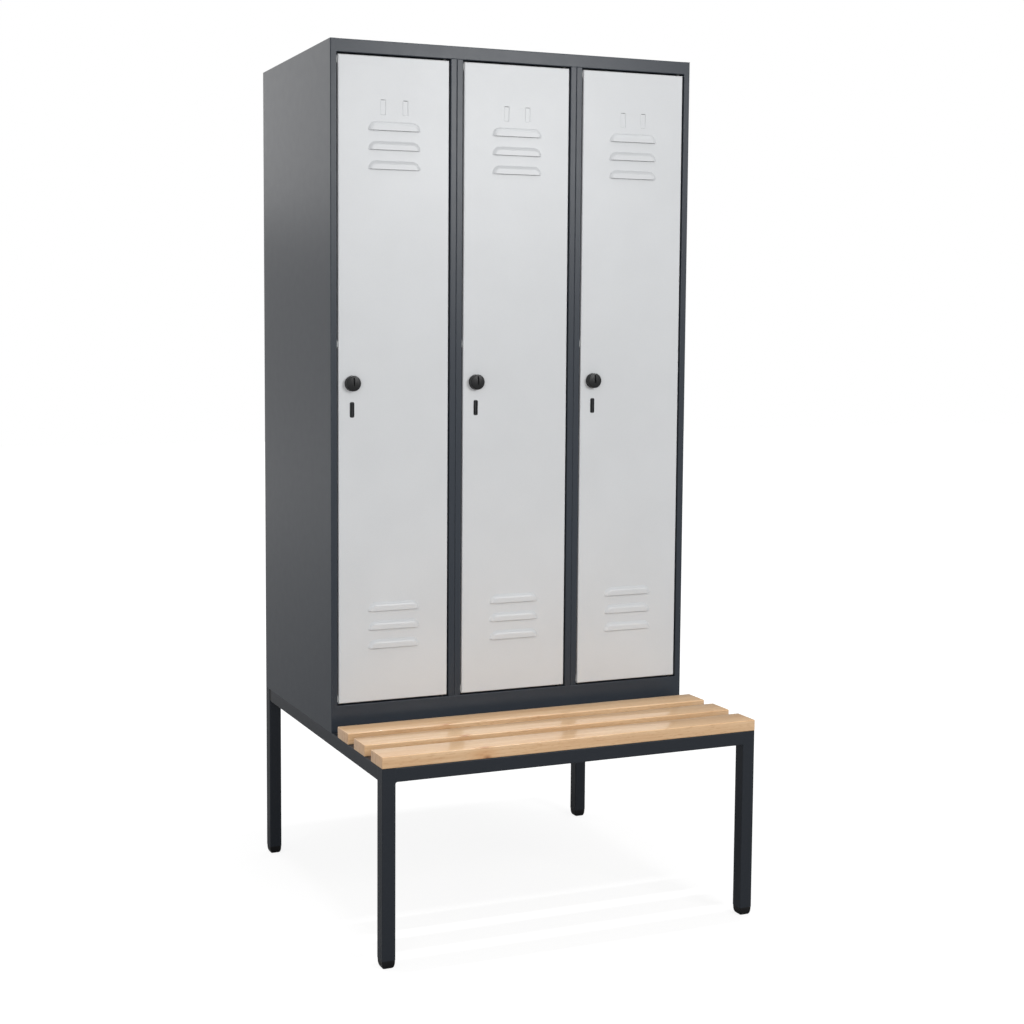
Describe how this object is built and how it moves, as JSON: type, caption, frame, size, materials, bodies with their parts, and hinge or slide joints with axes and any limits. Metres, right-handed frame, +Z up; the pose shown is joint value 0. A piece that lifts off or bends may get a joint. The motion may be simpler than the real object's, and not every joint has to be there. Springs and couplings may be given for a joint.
{
  "type": "locker with bench",
  "caption": "Steel locker with hinged, louvred doors on a square-tube bench frame, with wooden seat slats in front of it.",
  "frame": {"origin": "on the floor under the middle of the whole object's box", "axes": "+Z up, the doors face -Y, +X to the right seen from the front"},
  "size_m": [0.9, 0.815, 1.955],
  "materials": {
    "body_paint": "fine-textured satin powder coat, dark grey",
    "shelf_paint": "fine-textured satin powder coat, dark grey",
    "door_paint": "fine-textured satin powder coat, light grey",
    "bench_paint": "fine-textured satin powder coat, dark grey",
    "beech": "clear satin lacquer on solid beech",
    "black_plastic": "moulded, fine satin",
    "buffer_plastic": "soft moulded plastic",
    "hook_plastic": "moulded, fine satin",
    "zinc_steel": "zinc-plated steel",
    "black_steel": "blackened steel"
  },
  "bodies": {
    "body": {"left_side_panel": "body_paint", "right_side_panel": "body_paint", "top_panel": "body_paint", "bottom_panel": "body_paint", "back_panel": "body_paint", "partition_1_left": "body_paint", "partition_1_right": "body_paint", "partition_2_left": "body_paint", "partition_2_right": "body_paint", "hat_shelf_1": "shelf_paint", "hat_shelf_2": "shelf_paint", "hat_shelf_3": "shelf_paint", "front_left_leg": "bench_paint", "front_right_leg": "bench_paint", "rear_left_leg": "bench_paint", "rear_right_leg": "bench_paint", "left_side_rail": "bench_paint", "right_side_rail": "bench_paint", "front_rail": "bench_paint", "cross_rail": "bench_paint", "rear_rail": "bench_paint", "front_slat": "beech", "middle_slat": "beech", "rear_slat": "beech", "feet": "black_plastic", "rail_spacers": "black_plastic", "pivot_bushes": "black_plastic", "door_buffers": "buffer_plastic", "frame_bolts": "zinc_steel", "coat_rail_1": "zinc_steel", "coat_rail_2": "zinc_steel", "coat_rail_3": "zinc_steel"},
    "door_1": {"door_panel_1": "door_paint", "door_stiffener_1": "door_paint", "pivot_pins_1": "black_steel", "lock_case_1": "black_plastic", "slot_insert_1": "black_plastic"},
    "knob_1": {"knob_1": "black_plastic", "latch_cam_1": "zinc_steel"},
    "hook_1_1": {"coat_hook_1_1": "hook_plastic"},
    "hook_1_2": {"coat_hook_1_2": "hook_plastic"},
    "door_2": {"door_panel_2": "door_paint", "door_stiffener_2": "door_paint", "pivot_pins_2": "black_steel", "lock_case_2": "black_plastic", "slot_insert_2": "black_plastic"},
    "knob_2": {"knob_2": "black_plastic", "latch_cam_2": "zinc_steel"},
    "hook_2_1": {"coat_hook_2_1": "hook_plastic"},
    "hook_2_2": {"coat_hook_2_2": "hook_plastic"},
    "door_3": {"door_panel_3": "door_paint", "door_stiffener_3": "door_paint", "pivot_pins_3": "black_steel", "lock_case_3": "black_plastic", "slot_insert_3": "black_plastic"},
    "knob_3": {"knob_3": "black_plastic", "latch_cam_3": "zinc_steel"},
    "hook_3_1": {"coat_hook_3_1": "hook_plastic"},
    "hook_3_2": {"coat_hook_3_2": "hook_plastic"}
  },
  "joints": [
    {"name": "door_1_swing", "type": "hinge", "parent": "body", "child": "door_1", "pos_m": [-0.179, -0.0845, 1.206], "axis": [0, 0, 1], "range_deg": [0, 110]},
    {"name": "knob_1_turn", "type": "hinge", "parent": "door_1", "child": "knob_1", "pos_m": [-0.4004, -0.0925, 1.207], "axis": [0, 1, 0], "range_deg": [0, 90]},
    {"name": "hook_1_1_slide", "type": "slide", "parent": "body", "child": "hook_1_1", "axis": [1, 0, 0], "range_m": [-0.07, 0.04]},
    {"name": "hook_1_2_slide", "type": "slide", "parent": "body", "child": "hook_1_2", "axis": [1, 0, 0], "range_m": [-0.04, 0.07]},
    {"name": "door_2_swing", "type": "hinge", "parent": "body", "child": "door_2", "pos_m": [0.121, -0.0845, 1.206], "axis": [0, 0, 1], "range_deg": [0, 110]},
    {"name": "knob_2_turn", "type": "hinge", "parent": "door_2", "child": "knob_2", "pos_m": [-0.1004, -0.0925, 1.207], "axis": [0, 1, 0], "range_deg": [0, 90]},
    {"name": "hook_2_1_slide", "type": "slide", "parent": "body", "child": "hook_2_1", "axis": [1, 0, 0], "range_m": [-0.07, 0.04]},
    {"name": "hook_2_2_slide", "type": "slide", "parent": "body", "child": "hook_2_2", "axis": [1, 0, 0], "range_m": [-0.04, 0.07]},
    {"name": "door_3_swing", "type": "hinge", "parent": "body", "child": "door_3", "pos_m": [0.421, -0.0845, 1.206], "axis": [0, 0, 1], "range_deg": [0, 110]},
    {"name": "knob_3_turn", "type": "hinge", "parent": "door_3", "child": "knob_3", "pos_m": [0.1996, -0.0925, 1.207], "axis": [0, 1, 0], "range_deg": [0, 90]},
    {"name": "hook_3_1_slide", "type": "slide", "parent": "body", "child": "hook_3_1", "axis": [1, 0, 0], "range_m": [-0.07, 0.04]},
    {"name": "hook_3_2_slide", "type": "slide", "parent": "body", "child": "hook_3_2", "axis": [1, 0, 0], "range_m": [-0.04, 0.07]}
  ]
}
